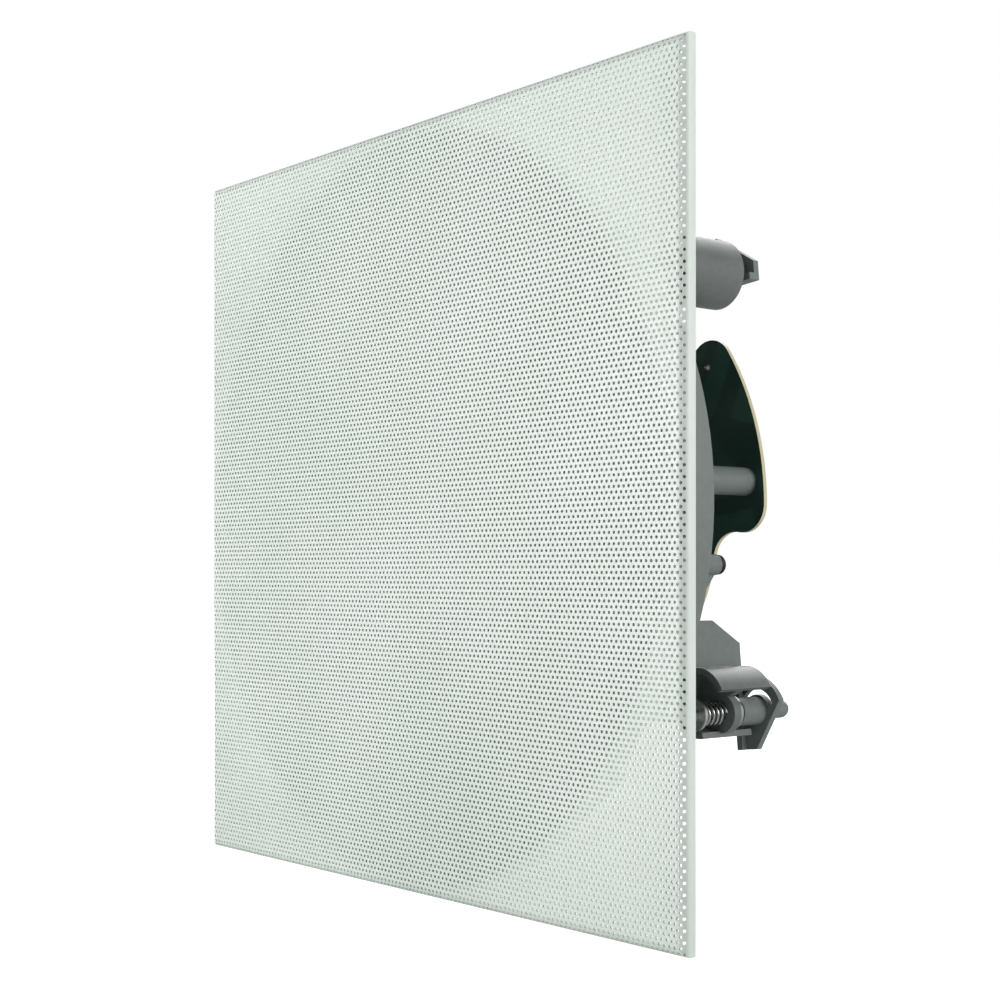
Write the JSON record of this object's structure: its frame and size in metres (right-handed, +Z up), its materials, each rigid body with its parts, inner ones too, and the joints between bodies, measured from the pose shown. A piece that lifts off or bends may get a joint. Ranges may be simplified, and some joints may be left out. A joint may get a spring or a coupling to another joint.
{
  "type": "ceiling speaker",
  "caption": "Round in-ceiling loudspeaker with a square perforated grille, moulded basket, rear crossover board and screw-drawn clamps that swing out behind the ceiling.",
  "frame": {"origin": "on the speaker's axis, in the plane where the flange's rear face bears on the ceiling", "axes": "+X right and +Z up as in the picture, seen from the listener's side; +Y into the ceiling"},
  "size_m": [0.28, 0.1055, 0.28],
  "materials": {
    "grille_paint": "satin powder coat",
    "chassis_plastic": "fine moulded grain",
    "magnet_plating": "nickel plate",
    "surround_rubber": "matt",
    "cone_film": "satin",
    "winding_copper": "enamelled wire",
    "spider_cloth": "resin-dipped weave",
    "zinc_steel": "zinc plate",
    "ferrite": "ground ceramic",
    "tweeter_plastic": "fine grain",
    "dome_cloth": "coated cloth",
    "board_laminate": "solder resist",
    "capacitor_sleeve": "film sleeve",
    "resistor_ceramic": "fired cement",
    "tab_brass": "tinned",
    "black_screw": "black oxide",
    "spring_wire": "drawn wire",
    "barrel_plastic": "fine moulded grain"
  },
  "bodies": {
    "chassis": {"grille": "grille_paint", "grille_magnets": "magnet_plating", "chassis": "chassis_plastic", "surround": "surround_rubber", "spider": "spider_cloth", "top_plate": "zinc_steel", "motor_screws": "zinc_steel", "ferrite_ring": "ferrite", "back_plate": "zinc_steel", "tweeter_post": "zinc_steel", "post_nut": "zinc_steel", "tweeter_housing": "tweeter_plastic", "tweeter_motor": "ferrite", "tweeter_face": "tweeter_plastic", "tweeter_dome": "dome_cloth", "crossover_board": "board_laminate", "board_screws": "zinc_steel", "large_inductor": "winding_copper", "small_inductor": "winding_copper", "capacitors": "capacitor_sleeve", "resistor": "resistor_ceramic", "input_tabs": "tab_brass", "boss_screws": "black_screw"},
    "cone": {"cone": "cone_film", "voice_coil": "winding_copper"},
    "clamp_screw_1": {"clamp_screw_1": "zinc_steel"},
    "clamp_carriage_1": {"clamp_nut_1": "zinc_steel", "clamp_washer_1": "zinc_steel", "clamp_spring_1": "spring_wire"},
    "clamp_barrel_1": {"clamp_barrel_1": "barrel_plastic"},
    "clamp_screw_2": {"clamp_screw_2": "zinc_steel"},
    "clamp_carriage_2": {"clamp_nut_2": "zinc_steel", "clamp_washer_2": "zinc_steel", "clamp_spring_2": "spring_wire"},
    "clamp_barrel_2": {"clamp_barrel_2": "barrel_plastic"},
    "clamp_screw_3": {"clamp_screw_3": "zinc_steel"},
    "clamp_carriage_3": {"clamp_nut_3": "zinc_steel", "clamp_washer_3": "zinc_steel", "clamp_spring_3": "spring_wire"},
    "clamp_barrel_3": {"clamp_barrel_3": "barrel_plastic"},
    "clamp_screw_4": {"clamp_screw_4": "zinc_steel"},
    "clamp_carriage_4": {"clamp_nut_4": "zinc_steel", "clamp_washer_4": "zinc_steel", "clamp_spring_4": "spring_wire"},
    "clamp_barrel_4": {"clamp_barrel_4": "barrel_plastic"}
  },
  "joints": [
    {"name": "cone_slide", "type": "slide", "parent": "chassis", "child": "cone", "axis": [0, 1, 0], "range_m": [-0.005, 0.005], "stiffness_N_per_m": 1250, "deforming": ["surround", "spider"]},
    {"name": "clamp_1_turn", "type": "hinge", "parent": "chassis", "child": "clamp_screw_1", "pos_m": [0.08835, 0.07, -0.07283], "axis": [0, 1, 0], "range_deg": [0, 7920]},
    {"name": "clamp_1_draw", "type": "slide", "parent": "chassis", "child": "clamp_carriage_1", "axis": [0, -1, 0], "range_m": [0, 0.044]},
    {"name": "clamp_1_swing", "type": "hinge", "parent": "clamp_carriage_1", "child": "clamp_barrel_1", "pos_m": [0.08835, 0.07, -0.07283], "axis": [0, 1, 0], "range_deg": [-75, 145]},
    {"name": "clamp_2_turn", "type": "hinge", "parent": "chassis", "child": "clamp_screw_2", "pos_m": [0.07283, 0.07, 0.08835], "axis": [0, 1, 0], "range_deg": [0, 7920]},
    {"name": "clamp_2_draw", "type": "slide", "parent": "chassis", "child": "clamp_carriage_2", "axis": [0, -1, 0], "range_m": [0, 0.044]},
    {"name": "clamp_2_swing", "type": "hinge", "parent": "clamp_carriage_2", "child": "clamp_barrel_2", "pos_m": [0.07283, 0.07, 0.08835], "axis": [0, 1, 0], "range_deg": [0, 220]},
    {"name": "clamp_3_turn", "type": "hinge", "parent": "chassis", "child": "clamp_screw_3", "pos_m": [-0.08835, 0.07, 0.07283], "axis": [0, 1, 0], "range_deg": [0, 7920]},
    {"name": "clamp_3_draw", "type": "slide", "parent": "chassis", "child": "clamp_carriage_3", "axis": [0, -1, 0], "range_m": [0, 0.044]},
    {"name": "clamp_3_swing", "type": "hinge", "parent": "clamp_carriage_3", "child": "clamp_barrel_3", "pos_m": [-0.08835, 0.07, 0.07283], "axis": [0, 1, 0], "range_deg": [0, 220]},
    {"name": "clamp_4_turn", "type": "hinge", "parent": "chassis", "child": "clamp_screw_4", "pos_m": [-0.07283, 0.07, -0.08835], "axis": [0, 1, 0], "range_deg": [0, 7920]},
    {"name": "clamp_4_draw", "type": "slide", "parent": "chassis", "child": "clamp_carriage_4", "axis": [0, -1, 0], "range_m": [0, 0.044]},
    {"name": "clamp_4_swing", "type": "hinge", "parent": "clamp_carriage_4", "child": "clamp_barrel_4", "pos_m": [-0.07283, 0.07, -0.08835], "axis": [0, 1, 0], "range_deg": [0, 220]}
  ],
  "couplings": [
    {"joint": "clamp_1_turn", "follows": "clamp_1_draw", "rad_per_m": 3141.6},
    {"joint": "clamp_2_turn", "follows": "clamp_2_draw", "rad_per_m": 3141.6},
    {"joint": "clamp_3_turn", "follows": "clamp_3_draw", "rad_per_m": 3141.6},
    {"joint": "clamp_4_turn", "follows": "clamp_4_draw", "rad_per_m": 3141.6}
  ]
}
